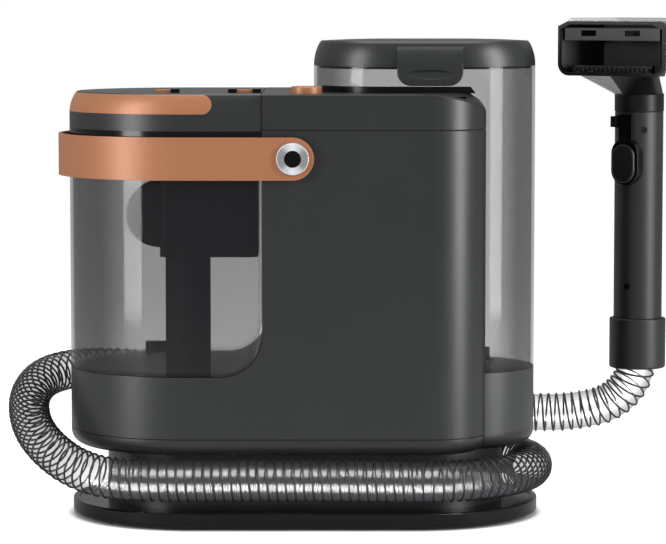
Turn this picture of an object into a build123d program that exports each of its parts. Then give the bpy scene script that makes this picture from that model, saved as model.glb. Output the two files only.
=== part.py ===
from build123d import *
import math
import os

# Portable carpet and upholstery cleaner, in millimetres.
# The origin is on the floor below the middle of the base: +X to the clean tank, +Y to the back, +Z up.

os.makedirs("parts", exist_ok=True)

# Base plate, feet and the neck that the hose is wrapped around
BASE_HALF_LENGTH = 186.0
BASE_RADIUS = 100.0
BASE_BOTTOM = 2.0
BASE_TOP = 13.5
BASE_RIM_WIDTH = 5.0
BASE_RIM_HEIGHT = 1.0
FOOT_RADIUS = 12.0
FOOT_INSET = 1.5
FOOT_X = 130.0
FOOT_Y = 62.0
NECK_HALF_LENGTH = 158.0
NECK_RADIUS = 73.0
NECK_WALL = 3.0

# Tray and body
TRAY_BOTTOM = 57.0
TRAY_TOP = 70.0
TRAY_ROUNDING = 11.0
TRAY_WALL = 3.0
BODY_LEFT = -187.2
BODY_RIGHT = 143.0
BODY_HALF_DEPTH = 94.0
BODY_CORNER = 45.0
BODY_TOP = 309.5
CAP_TOP = 337.5
CAP_EDGE = 2.0
CAP_END_ROUNDING = 18.0
WALL = 2.5
SEAM = 0.6
FIT = 0.05
SOFT_EDGE = 0.6
# Past every face of the machine, for cuts that go right through
BEYOND = 500.0

# Window cut-out that the dirty-water tank fills
WINDOW_RIGHT = -32.3
WINDOW_SILL = 118.7
WINDOW_CORNER = 32.0
CRADLE_WALL = 3.0

# Dirty-water tank and its lid
GASKET_BOTTOM = 304.5
LID_BOTTOM = 309.0
LID_SHOULDER = 322.0
LID_TAPER = 5.0
LID_FLOOR = 3.0
TRIM_RIGHT = -70.8
TRIM_THICKNESS = 1.4
RISER_X = -93.5
RISER_RADIUS = 18.0
RISER_TOP = 216.0
SEPARATOR_LEFT = -114.5
SEPARATOR_RIGHT = -37.0
SEPARATOR_HALF_DEPTH = 32.0
SEPARATOR_BOTTOM = 207.0
FLOAT_DRUM_X = -116.0
FLOAT_DRUM_Z = 240.0
FLOAT_DRUM_RADIUS = 26.0
FLOAT_DRUM_HALF_DEPTH = 20.0
FLOAT_BALL_RADIUS = 10.0
LATCH_DEPTH = 15.0
LATCH_Y = -50.0
LATCH_HEIGHT = 3.0
LATCH_TRAVEL = 5.0

# Clean-water tank and its lid
TANK_LEFT = 7.2
TANK_RIGHT = 183.2
TANK_RADIUS = 64.0
LEG_LEFT = 95.0
DOCK_TOP = 118.0
SHELF = 300.0
TANK_TOP = 357.7
CLEAN_LID_HEIGHT = 21.0
CLEAN_LID_TAPER = 4.6
CLEAN_LID_EDGE = 1.4
TAB_LEFT = 72.0
TAB_RIGHT = 123.4
TAB_BOTTOM = 343.0
TAB_GAP = 0.3
TAB_CORNER = 11.0
TAB_THICKNESS = 2.4
RECESS_HALF_LENGTH = 37.0
RECESS_RADIUS = 5.6
RECESS_DEPTH = 1.5
HINGE_Y = 70.5
HINGE_Z = 352.5
HINGE_PIN_RADIUS = 1.5
HINGE_KNUCKLE_RADIUS = 4.0
KNUCKLE_GAP = 0.4
ARM_TOP = TANK_TOP + 8.0
VALVE_X = 140.0
VALVE_RADIUS = 8.0

# Carrying strap
PIVOT_X = -8.6
PIVOT_Z = 288.0
PIVOT_RADIUS = 6.5
STRAP_HALF_WIDTH = 16.5
STRAP_THICKNESS = 2.8
STRAP_CLEARANCE = 2.6
STRAP_REACH = 8.8
CAP_RING_RADIUS = 12.7
CAP_RING_THICKNESS = 2.4

# Power button, motor and pump
BUTTON_X = 1.6
BUTTON_Y = -70.0
BUTTON_RADIUS = 12.2
BUTTON_PROUD = 5.5
BUTTON_CLEARANCE = 0.4
MOTOR_X = 31.0
MOTOR_RADIUS = 46.0
MOTOR_BOTTOM = 78.0
MOTOR_TOP = 188.0
SHAFT_RADIUS = 4.0

# Hose, its outlet and its hooks
HOSE_RADIUS = 16.5
OUTLET_X = 20.0
OUTLET_RADIUS = 14.0
HOSE_Z = 38.0
HOSE_TURN = 97.0
HOSE_SLACK = 0.3
HOOK_BORE = 18.8
HOOK_WALL = 3.0
HOOK_WIDTH = 22.0

# Wand: a turned tube that stands at the hose's far end, its mouth turned about its own axis
WAND_X = 276.0
WAND_Y = 100.0
WAND_TURN = -35.0
CUFF_RADIUS = 23.3
CUFF_BOTTOM = 104.3
CUFF_TOP = 146.0
CUFF_SHOULDER = 122.0
CUFF_SLACK = 1.9
HANDLE_RADIUS = 20.0
HANDLE_TOP = 317.0
SPIGOT_RADIUS = 17.95
TRIGGER_HALF_WIDTH = 10.5
TRIGGER_BOTTOM = 259.0
TRIGGER_TOP = 291.0
BEZEL_WIDTH = 2.2
BEZEL_FACE = 24.5
TRIGGER_FACE = 27.5
HEAD_HALF_WIDTH = 50.0
HEAD_FRONT = 48.0
HEAD_BACK = 10.0
HEAD_BOTTOM = 347.3
HEAD_TOP = 391.8
HEAD_WALL = 2.5
HEAD_STRAIGHT = 2.0
HEAD_BACK_HALF_WIDTH = 28.0
HOOD_WALL = 2.0
DUCT_WALL = 2.0
DUCT_SPLIT = -4.0
NOZZLE_COLLAR_TOP = 332.0
WINDOW_TOP = 394.7


def slot_plan(left, right, radius):
    """Plan outline with two half-round ends, from its leftmost to its rightmost point."""
    return Pos((left + right) / 2, 0) * SlotOverall(right - left, 2 * radius)


def base_plan(grow=0.0):
    return slot_plan(-BASE_HALF_LENGTH - grow, BASE_HALF_LENGTH + grow, BASE_RADIUS + grow)


def neck_plan(grow=0.0):
    return slot_plan(-NECK_HALF_LENGTH - grow, NECK_HALF_LENGTH + grow, NECK_RADIUS + grow)


def body_plan(grow=0.0):
    """Half-round left end, straight sides and a right end with rounded corners."""
    left_centre = BODY_LEFT + BODY_HALF_DEPTH
    depth = BODY_HALF_DEPTH + grow
    right = BODY_RIGHT + grow
    block = Pos((left_centre + right) / 2, 0) * Rectangle(right - left_centre, 2 * depth)
    block = fillet(block.vertices().sort_by(Axis.X)[-2:], BODY_CORNER + grow)
    return block + Pos(left_centre, 0) * Circle(depth)


def tank_plan(grow=0.0):
    return slot_plan(TANK_LEFT - grow, TANK_RIGHT + grow, TANK_RADIUS + grow)


def leg_plan(grow=0.0):
    """The part of the clean tank that reaches down beside the motor."""
    left = LEG_LEFT - grow
    right = TANK_RIGHT + grow
    keep = Pos((left + right) / 2, 0) * Rectangle(right - left, 4 * TANK_RADIUS)
    return tank_plan(grow) & keep


def prism(plan, bottom, top):
    return Pos(0, 0, bottom) * extrude(plan, amount=top - bottom)


def block(left, right, front, back, bottom, top):
    """Box between six faces."""
    middle = Pos((left + right) / 2, (front + back) / 2, (bottom + top) / 2)
    return middle * Box(right - left, back - front, top - bottom)


def rod_x(radius, left, right, y, z):
    return Pos((left + right) / 2, y, z) * Rot(0, 90, 0) * Cylinder(radius, right - left)


def rod_y(radius, front, back, x, z):
    return Pos(x, (front + back) / 2, z) * Rot(90, 0, 0) * Cylinder(radius, back - front)


def rod_z(radius, bottom, top, x, y):
    return Pos(x, y, (bottom + top) / 2) * Cylinder(radius, top - bottom)


def window_space(grow=0.0):
    """The space of the window cut-out, right through the body, with its one rounded lower corner."""
    right = WINDOW_RIGHT + grow
    sill = WINDOW_SILL - grow
    left = 2 * BODY_LEFT
    top = 2 * CAP_TOP
    outline = Pos((left + right) / 2, (sill + top) / 2) * Rectangle(right - left, top - sill)
    corner = outline.vertices().sort_by_distance((right, sill, 0))[0]
    outline = fillet(corner, WINDOW_CORNER + grow)
    return extrude(Plane.XZ * outline, amount=4 * BODY_HALF_DEPTH, both=True)


def stadium_turning(profile, left_centre, right_centre):
    """A solid with one profile all round: turned at both ends and drawn straight between them."""
    upright = Plane.XZ * profile
    middle = extrude(Plane.YZ * (profile + mirror(profile, Plane.YZ)), amount=right_centre - left_centre)
    ends = Pos(left_centre, 0, 0) * revolve(upright, Axis.Z, 360)
    if right_centre > left_centre:
        ends = ends + Pos(right_centre, 0, 0) * revolve(upright, Axis.Z, 360)
    return ends + Pos(left_centre, 0, 0) * middle


def biggest(shape):
    return max(shape.solids(), key=lambda solid: solid.volume)


def save(name, shape):
    solids = shape.solids()
    shape = Compound(children=solids) if len(solids) > 1 else solids[0]
    shape.label = name
    export_step(shape, os.path.join("parts", name + ".step"))


# ---------------------------------------------------------------- base and neck

SCREW_PLACES = [(-100, -38), (-100, 38), (100, -38), (100, 38)]
SCREW_RADIUS = 2.0
SCREW_HEAD_RADIUS = 4.2
SCREW_HEAD_TOP = 6.0
SCREW_TIP = 24.0


def foot_places():
    corners = [(x, y) for x in (-FOOT_X, FOOT_X) for y in (-FOOT_Y, FOOT_Y)]
    return corners + [(0, 0)]


def base_plate():
    plate = prism(base_plan(), BASE_BOTTOM, BASE_TOP)
    plate = fillet(plate.edges().group_by(Axis.Z)[0], 2.5)
    plate = fillet(plate.edges().group_by(Axis.Z)[-1], 1.2)
    plate -= prism(base_plan(-BASE_RIM_WIDTH), BASE_TOP - BASE_RIM_HEIGHT, BASE_TOP)
    for x, y in foot_places():
        plate -= rod_z(FOOT_RADIUS + FIT, BASE_BOTTOM, BASE_BOTTOM + FOOT_INSET, x, y)
    for x, y in SCREW_PLACES:
        plate -= rod_z(SCREW_HEAD_RADIUS + 0.4, BASE_BOTTOM, SCREW_HEAD_TOP, x, y)
        plate -= rod_z(SCREW_RADIUS + FIT, BASE_BOTTOM, BASE_TOP, x, y)
    return plate


def rubber_feet():
    feet = []
    for x, y in foot_places():
        foot = rod_z(FOOT_RADIUS, 0, BASE_BOTTOM + FOOT_INSET, x, y)
        feet.append(fillet(foot.edges().group_by(Axis.Z)[0], 0.8))
    return Compound(children=feet)


def base_screw(x, y):
    head = rod_z(SCREW_HEAD_RADIUS, SCREW_HEAD_TOP - 2.8, SCREW_HEAD_TOP, x, y)
    head = fillet(head.edges().group_by(Axis.Z)[0], 1.0)
    return head + rod_z(SCREW_RADIUS, SCREW_HEAD_TOP - 1, SCREW_TIP, x, y)


def hose_neck():
    bottom = BASE_TOP - BASE_RIM_HEIGHT
    neck = prism(neck_plan(), bottom, TRAY_BOTTOM)
    neck -= prism(neck_plan(-NECK_WALL), bottom, TRAY_BOTTOM - NECK_WALL)
    for x, y in SCREW_PLACES:
        neck += rod_z(SCREW_RADIUS + 3.5, bottom, TRAY_BOTTOM - NECK_WALL, x, y)
        neck -= rod_z(SCREW_RADIUS + FIT, bottom, SCREW_TIP + 2, x, y)
    neck -= rod_y(OUTLET_RADIUS + FIT, NECK_RADIUS / 2, NECK_RADIUS * 1.2, OUTLET_X, HOSE_Z)
    neck -= rod_z(OUTLET_RADIUS + 1, bottom, TRAY_BOTTOM, RISER_X, 0)
    return neck


# ---------------------------------------------------------------- tray and body shells

def body_tray():
    body_part = prism(body_plan(), TRAY_BOTTOM, TRAY_TOP)
    body_part = fillet(body_part.edges().group_by(Axis.Z)[0], TRAY_ROUNDING)
    dock_part = prism(tank_plan(), TRAY_BOTTOM, TRAY_TOP)
    dock_part = fillet(dock_part.edges().group_by(Axis.Z)[0], TRAY_ROUNDING)
    tray = body_part + dock_part
    floor = TRAY_BOTTOM + TRAY_WALL
    hollow_body = prism(body_plan(-TRAY_ROUNDING), floor, TRAY_TOP)
    hollow_dock = prism(tank_plan(-TRAY_ROUNDING), floor, TRAY_TOP)
    tray -= hollow_body + hollow_dock
    tray -= rod_z(OUTLET_RADIUS + 1, TRAY_BOTTOM, TRAY_TOP, RISER_X, 0)
    return tray


SHELL_BOSS = 16.0
SCREW_PROUD = 1.8
SHELL_SCREWS = [(-14.0, 240.0), (84.0, 240.0), (-14.0, 190.0), (84.0, 215.0)]
GRILLE_X = 40.0
GRILLE_Z = 160.0
GRILLE_WIDTH = 56.0
GRILLE_HEIGHT = 44.0
GLAND_X = 5.0
GLAND_Z = 126.0
GLAND_RADIUS = 7.0
CORD_BORE = 3.2


def body_walls():
    """Both body shells as one open tube, before the front and the rear are parted."""
    outside = prism(body_plan(), TRAY_TOP, BODY_TOP)
    outside = chamfer(outside.edges().group_by(Axis.Z)[0] + outside.edges().group_by(Axis.Z)[-1], SOFT_EDGE)
    walls = outside - prism(body_plan(-WALL), TRAY_TOP, BODY_TOP)
    walls -= window_space()
    walls -= prism(leg_plan(SEAM), TRAY_TOP, BODY_TOP)
    walls -= prism(tank_plan(SEAM), SHELF - SEAM, BODY_TOP)
    walls -= rod_y(PIVOT_RADIUS + FIT, -2 * BODY_HALF_DEPTH, 2 * BODY_HALF_DEPTH, PIVOT_X, PIVOT_Z)
    return walls


def front_shell(walls):
    half = walls & block(2 * BODY_LEFT, 2 * BODY_RIGHT, -2 * BODY_HALF_DEPTH, 0, 0, 2 * CAP_TOP)
    return biggest(half)


def rear_shell(walls):
    half = walls & block(2 * BODY_LEFT, 2 * BODY_RIGHT, 0, 2 * BODY_HALF_DEPTH, 0, 2 * CAP_TOP)
    shell = biggest(half)
    inside = BODY_HALF_DEPTH - WALL
    for x, z in SHELL_SCREWS:
        shell += rod_y(SCREW_RADIUS + 3, inside - SHELL_BOSS, inside, x, z)
        shell -= rod_y(SCREW_RADIUS + FIT, inside - SHELL_BOSS, 2 * BODY_HALF_DEPTH, x, z)
    shell -= block(GRILLE_X - GRILLE_WIDTH / 2, GRILLE_X + GRILLE_WIDTH / 2, inside - 1,
                   BODY_HALF_DEPTH + 1, GRILLE_Z - GRILLE_HEIGHT / 2, GRILLE_Z + GRILLE_HEIGHT / 2)
    shell -= rod_y(GLAND_RADIUS + FIT, inside - 1, BODY_HALF_DEPTH + 1, GLAND_X, GLAND_Z)
    return shell


def shell_screw(x, z):
    head = rod_y(SCREW_HEAD_RADIUS, BODY_HALF_DEPTH, BODY_HALF_DEPTH + SCREW_PROUD, x, z)
    head = fillet(head.edges().group_by(Axis.Y)[-1], 0.8)
    return head + rod_y(SCREW_RADIUS, BODY_HALF_DEPTH - SHELL_BOSS, BODY_HALF_DEPTH + 1, x, z)


def case_screws():
    """Four screws up through the base plate and four through the back wall."""
    screws = [base_screw(x, y) for x, y in SCREW_PLACES]
    screws += [shell_screw(x, z) for x, z in SHELL_SCREWS]
    return Compound(children=screws)


def tank_cradle():
    """Floor and bulkhead behind the window, one bent sheet between the two shells."""
    sheet = window_space(CRADLE_WALL) - window_space()
    sheet &= prism(body_plan(-WALL), TRAY_TOP, BODY_TOP)
    sheet -= rod_z(OUTLET_RADIUS + FIT, TRAY_TOP, WINDOW_SILL + 1, RISER_X, 0)
    return sheet


def tank_bay_liner():
    """Wall around the clean tank's leg, the shelf under its wide part and the wall above the shelf."""
    shelf_top = SHELF - SEAM
    leg = prism(leg_plan(SEAM + WALL), TRAY_TOP, shelf_top) - prism(leg_plan(SEAM), TRAY_TOP, shelf_top)
    shelf = prism(tank_plan(SEAM + WALL), shelf_top - WALL, shelf_top)
    shelf -= prism(leg_plan(SEAM), shelf_top - WALL, shelf_top)
    ring = prism(tank_plan(SEAM + WALL), shelf_top, BODY_TOP) - prism(tank_plan(SEAM), shelf_top, BODY_TOP)
    liner = (leg + shelf + ring) & prism(body_plan(-WALL), TRAY_TOP, BODY_TOP)
    return biggest(liner)


def clean_tank_dock():
    dock = prism(leg_plan(), TRAY_TOP, DOCK_TOP)
    dock -= prism(leg_plan(-WALL), TRAY_TOP, DOCK_TOP - WALL)
    dock -= rod_z(VALVE_RADIUS + 1.5, TRAY_TOP, DOCK_TOP, VALVE_X, 0)
    return dock


def top_cap():
    slab = prism(body_plan(), BODY_TOP, CAP_TOP)
    slab = fillet(slab.edges().group_by(Axis.Z)[-1], CAP_EDGE)
    slab = chamfer(slab.edges().group_by(Axis.Z)[0], SOFT_EDGE)
    # The right end is rounded over its top: a second slab, wider than the body, has the soft edge
    widen = CAP_END_ROUNDING * 0.75
    soft = prism(soft_end_plan(widen), BODY_TOP - CAP_END_ROUNDING, CAP_TOP)
    soft = fillet(soft.edges().group_by(Axis.Z)[-1], CAP_END_ROUNDING)
    cap = slab & soft
    cap -= block(2 * BODY_LEFT, WINDOW_RIGHT, -BEYOND, BEYOND, BODY_TOP - 1, CAP_TOP + 1)
    hollow = prism(body_plan(-WALL), BODY_TOP, CAP_TOP - WALL)
    hollow &= block(WINDOW_RIGHT + WALL, BODY_RIGHT - CAP_END_ROUNDING, -BEYOND, BEYOND, BODY_TOP, CAP_TOP)
    hollow -= prism(tank_plan(SEAM + WALL), BODY_TOP, CAP_TOP)
    hollow -= rod_z(BUTTON_RADIUS + BUTTON_CLEARANCE + WALL, BUTTON_FLOOR - WALL, CAP_TOP, BUTTON_X, BUTTON_Y)
    cap -= hollow
    cap -= prism(tank_plan(SEAM), BODY_TOP, CAP_TOP)
    cap -= rod_z(BUTTON_RADIUS + BUTTON_CLEARANCE, BUTTON_FLOOR, CAP_TOP, BUTTON_X, BUTTON_Y)
    cap -= rod_z(BUTTON_STEM + BUTTON_CLEARANCE, BODY_TOP, CAP_TOP, BUTTON_X, BUTTON_Y)
    return biggest(cap)


def soft_end_plan(widen):
    """Outline that meets the body's right end but stands out past its front and back."""
    left = 2 * BODY_LEFT
    depth = BODY_HALF_DEPTH + widen
    face = Pos((left + BODY_RIGHT) / 2, 0) * Rectangle(BODY_RIGHT - left, 2 * depth)
    return fillet(face.vertices().sort_by(Axis.X)[-2:], BODY_CORNER + widen)


COLLAR_LEFT = 14.0
COLLAR_RIGHT = 129.0
COLLAR_HEIGHT = 5.0
COLLAR_WIDTH = 3.7
COLLAR_SLANT = 4.0


def tank_collar():
    """Black strip on the cap, along the foot of the clean tank's front."""
    band = prism(tank_plan(SEAM + COLLAR_WIDTH), CAP_TOP, CAP_TOP + COLLAR_HEIGHT)
    band -= prism(tank_plan(SEAM), CAP_TOP, CAP_TOP + COLLAR_HEIGHT)
    ends = Plane.XZ * make_face(Polyline(
        (COLLAR_LEFT, CAP_TOP), (COLLAR_RIGHT + COLLAR_SLANT, CAP_TOP),
        (COLLAR_RIGHT, CAP_TOP + COLLAR_HEIGHT), (COLLAR_LEFT, CAP_TOP + COLLAR_HEIGHT),
        (COLLAR_LEFT, CAP_TOP)))
    return biggest(band & extrude(ends, amount=2 * BODY_HALF_DEPTH))


# ---------------------------------------------------------------- carrying strap

def strap_outer():
    return BODY_HALF_DEPTH + STRAP_CLEARANCE + STRAP_THICKNESS


def strap_handle():
    outer = strap_outer()
    inner = outer - STRAP_THICKNESS
    end = BODY_LEFT - STRAP_REACH
    far = PIVOT_X + 4 * STRAP_HALF_WIDTH
    plan = slot_plan(end, far + outer, outer) - slot_plan(end + STRAP_THICKNESS, far + inner, inner)
    bottom = PIVOT_Z - STRAP_HALF_WIDTH
    top = PIVOT_Z + STRAP_HALF_WIDTH
    band = prism(plan, bottom, top)
    side = block(end - outer, PIVOT_X, -2 * outer, 2 * outer, bottom, top)
    side += rod_y(STRAP_HALF_WIDTH, -2 * outer, 2 * outer, PIVOT_X, PIVOT_Z)
    band &= side
    band -= rod_y(PIVOT_RADIUS + FIT, -2 * outer, 2 * outer, PIVOT_X, PIVOT_Z)
    return band


def on_both_sides(piece):
    return Compound(children=piece.solids() + mirror(piece, Plane.XZ).solids())


def handle_pivot_pins():
    """Flanged pins through both shells; each carries one end of the strap on its outer part."""
    inside = BODY_HALF_DEPTH - WALL
    tip = strap_outer() + CAP_RING_THICKNESS - 0.4
    pin = rod_y(PIVOT_RADIUS, inside - 2, tip, PIVOT_X, PIVOT_Z)
    pin += rod_y(PIVOT_RADIUS + 4, inside - 5, inside, PIVOT_X, PIVOT_Z)
    pin += rod_y(PIVOT_RADIUS + 3, BODY_HALF_DEPTH, BODY_HALF_DEPTH + STRAP_CLEARANCE - 0.1, PIVOT_X, PIVOT_Z)
    pin = chamfer(pin.edges().group_by(Axis.Y)[-1], 0.6)
    return on_both_sides(pin)


def pivot_rings():
    ring = rod_y(CAP_RING_RADIUS, strap_outer(), strap_outer() + CAP_RING_THICKNESS, PIVOT_X, PIVOT_Z)
    ring = fillet(ring.edges().group_by(Axis.Y)[-1], 0.9)
    ring -= rod_y(PIVOT_RADIUS + FIT, 0, 2 * strap_outer(), PIVOT_X, PIVOT_Z)
    return on_both_sides(ring)


# ---------------------------------------------------------------- dirty-water tank

def tank_space(shrink, bottom, top):
    """The dirty tank's own outline, drawn in by a wall, between two heights."""
    return prism(body_plan(-shrink), bottom, top) & window_space(-SEAM - shrink)


def dirty_tank_bowl():
    floor = WINDOW_SILL + SEAM
    bowl = tank_space(0, floor, GASKET_BOTTOM) - tank_space(WALL, floor + WALL, GASKET_BOTTOM)
    bowl -= rod_z(RISER_RADIUS, floor, floor + 2 * WALL, RISER_X, 0)
    return biggest(bowl)


def tank_gasket():
    return tank_space(0, GASKET_BOTTOM, LID_BOTTOM) - tank_space(WALL, GASKET_BOTTOM, LID_BOTTOM)


def riser_pipe():
    bottom = WINDOW_SILL + SEAM
    return rod_z(RISER_RADIUS, bottom, RISER_TOP, RISER_X, 0) - rod_z(
        RISER_RADIUS - WALL, bottom, RISER_TOP, RISER_X, 0)


def lid_section(shrink, lowered):
    """Half section of the lid: an upright foot, then a side that curves in to a nearly flat top."""
    radius = BODY_HALF_DEPTH - shrink
    top = CAP_TOP - lowered
    shoulder = LID_SHOULDER
    inward = radius - LID_TAPER
    halfway = (radius - LID_TAPER * 0.32, (shoulder + top) / 2)
    side = ThreePointArc((radius, shoulder), halfway, (inward, top - 1))
    outline = Wire([
        Line((0, LID_BOTTOM), (radius, LID_BOTTOM)).edge(),
        Line((radius, LID_BOTTOM), (radius, shoulder)).edge(),
        side.edge(),
        Line((inward, top - 1), (inward - 1.4, top)).edge(),
        Line((inward - 1.4, top), (0, top)).edge(),
        Line((0, top), (0, LID_BOTTOM)).edge()])
    return make_face(outline)


def lid_block(shrink, lowered):
    """The lid as a full block, drawn in and lowered, its right end cut flat beside the cap."""
    left_centre = BODY_LEFT + BODY_HALF_DEPTH
    long_block = stadium_turning(lid_section(shrink, lowered), left_centre, -left_centre)
    right = WINDOW_RIGHT - SEAM - shrink
    return long_block & block(2 * BODY_LEFT, right, -BEYOND, BEYOND, 0, 2 * CAP_TOP)


def trim_space():
    """Where the copper trim lies: the sloping side, ending in a half circle at the front and the back."""
    height = CAP_TOP - 0.7 - LID_SHOULDER
    middle = LID_SHOULDER + height / 2
    centre = TRIM_RIGHT - height / 2
    band = block(2 * BODY_LEFT, centre, -BEYOND, BEYOND, middle - height / 2, middle + height / 2)
    return band + rod_y(height / 2, -BEYOND, BEYOND, centre, middle)


# Each latch from left to right: its socket's start, the slider's start and end, the socket's end
LATCHES = {"left": (-117.3, -116.3, -103.9, -97.2), "right": (-59.3, -52.6, -40.4, -33.6)}


def latch_hole(name):
    left, right = LATCHES[name][0], LATCHES[name][-1]
    return block(left, right, LATCH_Y - LATCH_DEPTH / 2, LATCH_Y + LATCH_DEPTH / 2, CAP_TOP - 2, CAP_TOP + 10)


def dirty_lid():
    lid = lid_block(0, 0)
    inner = lid_block(WALL, WALL) & block(2 * BODY_LEFT, 0, -BEYOND, BEYOND, LID_BOTTOM + LID_FLOOR, CAP_TOP)
    lid -= inner
    lid -= trim_space() - lid_block(TRIM_THICKNESS, 0)
    for name in LATCHES:
        lid -= latch_hole(name)
    lid -= block(-100, -50, -18, 18, LID_BOTTOM - 1, LID_BOTTOM + LID_FLOOR)
    return biggest(lid)


def lid_trim():
    skin = lid_block(0, 0) - lid_block(TRIM_THICKNESS, 0)
    return biggest(skin & trim_space())


def latch_sockets():
    """Flush beds with a raised block at the right of each, hollow, so that the slider goes into it."""
    sockets = []
    front = LATCH_Y - LATCH_DEPTH / 2
    back = LATCH_Y + LATCH_DEPTH / 2
    top = CAP_TOP + LATCH_HEIGHT
    for left, slider_left, slider_right, right in LATCHES.values():
        socket = block(left, right, front, back, CAP_TOP - 2, CAP_TOP)
        socket += block(slider_right, right, front, back, CAP_TOP - 2, top)
        if slider_left - left > LATCH_HEIGHT:
            socket += block(left, slider_left, front, back, CAP_TOP - 2, top)
        tunnel_end = slider_right + LATCH_TRAVEL + 0.4
        socket -= block(slider_left, tunnel_end, front + 1.2, back - 1.2, CAP_TOP - 0.8, top - 0.5)
        sockets.append(socket)
    return Compound(children=[socket.solids()[0] for socket in sockets])


def lid_latch(name):
    left, slider_left, slider_right, right = LATCHES[name]
    front = LATCH_Y - LATCH_DEPTH / 2 + 1.4
    back = LATCH_Y + LATCH_DEPTH / 2 - 1.4
    slider = block(slider_left + 0.2, slider_right, front, back, CAP_TOP - 0.7, CAP_TOP + LATCH_HEIGHT - 0.6)
    return fillet(slider.edges().group_by(Axis.Z)[-1], 0.5)


def separator_housing():
    """Box under the lid where the water falls out of the air stream."""
    left, right, deep = SEPARATOR_LEFT, SEPARATOR_RIGHT, SEPARATOR_HALF_DEPTH
    housing = block(left, right, -deep, deep, SEPARATOR_BOTTOM, LID_BOTTOM)
    housing = fillet(housing.edges().filter_by(Axis.Z), 6)
    inner = block(left + WALL, right - WALL, -deep + WALL, deep - WALL, SEPARATOR_BOTTOM + WALL, LID_BOTTOM)
    housing -= fillet(inner.edges().filter_by(Axis.Z), 4)
    housing -= rod_z(RISER_RADIUS + SEAM, SEPARATOR_BOTTOM - 1, SEPARATOR_BOTTOM + WALL + 1, RISER_X, 0)
    return housing


def float_drum():
    """Slotted half drum beside the separator; the float rises in it and shuts off the suction."""
    deep = FLOAT_DRUM_HALF_DEPTH
    drum = rod_y(FLOAT_DRUM_RADIUS, -deep, deep, FLOAT_DRUM_X, FLOAT_DRUM_Z)
    drum = fillet(drum.edges().group_by(Axis.Y)[0], 3)
    drum = fillet(drum.edges().group_by(Axis.Y)[-1], 3)
    drum -= rod_y(FLOAT_DRUM_RADIUS - 2, -deep + 2, deep - 2, FLOAT_DRUM_X, FLOAT_DRUM_Z)
    left = FLOAT_DRUM_X - 2 * FLOAT_DRUM_RADIUS
    drum &= block(left, SEPARATOR_LEFT, -deep, deep, 0, LID_BOTTOM)
    for shift in (-8, 0, 8):
        drum -= block(left, FLOAT_DRUM_X - 14, shift - 1.5, shift + 1.5, FLOAT_DRUM_Z - 14, FLOAT_DRUM_Z + 14)
    return drum


FLOAT_X = -125.2
FLOAT_Z = 232.0


def float_ball():
    return Pos(FLOAT_X, 0, FLOAT_Z) * Sphere(FLOAT_BALL_RADIUS)


# ---------------------------------------------------------------- clean-water tank

def clean_tank_shell():
    bottom = DOCK_TOP + SEAM
    shell = prism(leg_plan(), bottom, SHELF + WALL) + prism(tank_plan(), SHELF, TANK_TOP)
    shell -= prism(leg_plan(-WALL), bottom + WALL, SHELF + 2 * WALL)
    shell -= prism(tank_plan(-WALL), SHELF + WALL, TANK_TOP)
    shell -= rod_z(VALVE_RADIUS, bottom, bottom + WALL, VALVE_X, 0)
    for left, right in TANK_KNUCKLES:
        arm = block(left, right, TANK_RADIUS - 1, HINGE_Y, HINGE_Z - HINGE_KNUCKLE_RADIUS, HINGE_Z)
        shell += arm + rod_x(HINGE_KNUCKLE_RADIUS, left, right, HINGE_Y, HINGE_Z)
    shell -= rod_x(HINGE_PIN_RADIUS + FIT, HINGE_LEFT - 1, HINGE_RIGHT + 1, HINGE_Y, HINGE_Z)
    return shell


HINGE_LEFT = 75.0
HINGE_RIGHT = 115.0
KNUCKLE_LENGTH = 8.0
TANK_KNUCKLES = [(HINGE_LEFT, HINGE_LEFT + KNUCKLE_LENGTH), (HINGE_RIGHT - KNUCKLE_LENGTH, HINGE_RIGHT)]


def clean_lid_hinge_pin():
    return rod_x(HINGE_PIN_RADIUS, HINGE_LEFT, HINGE_RIGHT, HINGE_Y, HINGE_Z)


def clean_lid_section(grow=0.0):
    """Half section of the lid: the side leans in on a long curve to a low crown."""
    radius = TANK_RADIUS + grow
    top = TANK_TOP + CLEAN_LID_HEIGHT
    taper = CLEAN_LID_TAPER + 1.5 * grow
    shoulder = (radius - taper, top - 2 * CLEAN_LID_EDGE)
    crown_start = (radius - taper - CLEAN_LID_EDGE, top - CLEAN_LID_EDGE)
    side = ThreePointArc((radius, TANK_TOP), (radius - taper * 0.3, TANK_TOP + CLEAN_LID_HEIGHT / 2), shoulder)
    crown = ThreePointArc(crown_start, (radius / 2, top - 0.3), (0, top))
    outline = Wire([
        Line((0, TANK_TOP), (radius, TANK_TOP)).edge(),
        side.edge(),
        Line(shoulder, crown_start).edge(),
        crown.edge(),
        Line((0, top), (0, TANK_TOP)).edge()])
    return make_face(outline)


def clean_lid_block(grow=0.0):
    return stadium_turning(clean_lid_section(grow), TANK_LEFT + TANK_RADIUS, TANK_RIGHT - TANK_RADIUS)


def finger_recess():
    """Long shallow hollow in the tab, turned about a line in front of it."""
    middle = (TAB_LEFT + TAB_RIGHT) / 2
    front = -TANK_RADIUS - TAB_GAP - TAB_THICKNESS
    half = RECESS_HALF_LENGTH
    bow = ThreePointArc((-half, 0), (0, RECESS_RADIUS), (half, 0))
    face = make_face(Wire([bow.edge(), Line((half, 0), (-half, 0)).edge()]))
    spindle = revolve(face, Axis.X, 360)
    return Pos(middle, front + RECESS_DEPTH - RECESS_RADIUS, TANK_TOP - TAB_GAP - RECESS_RADIUS) * spindle


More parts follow.
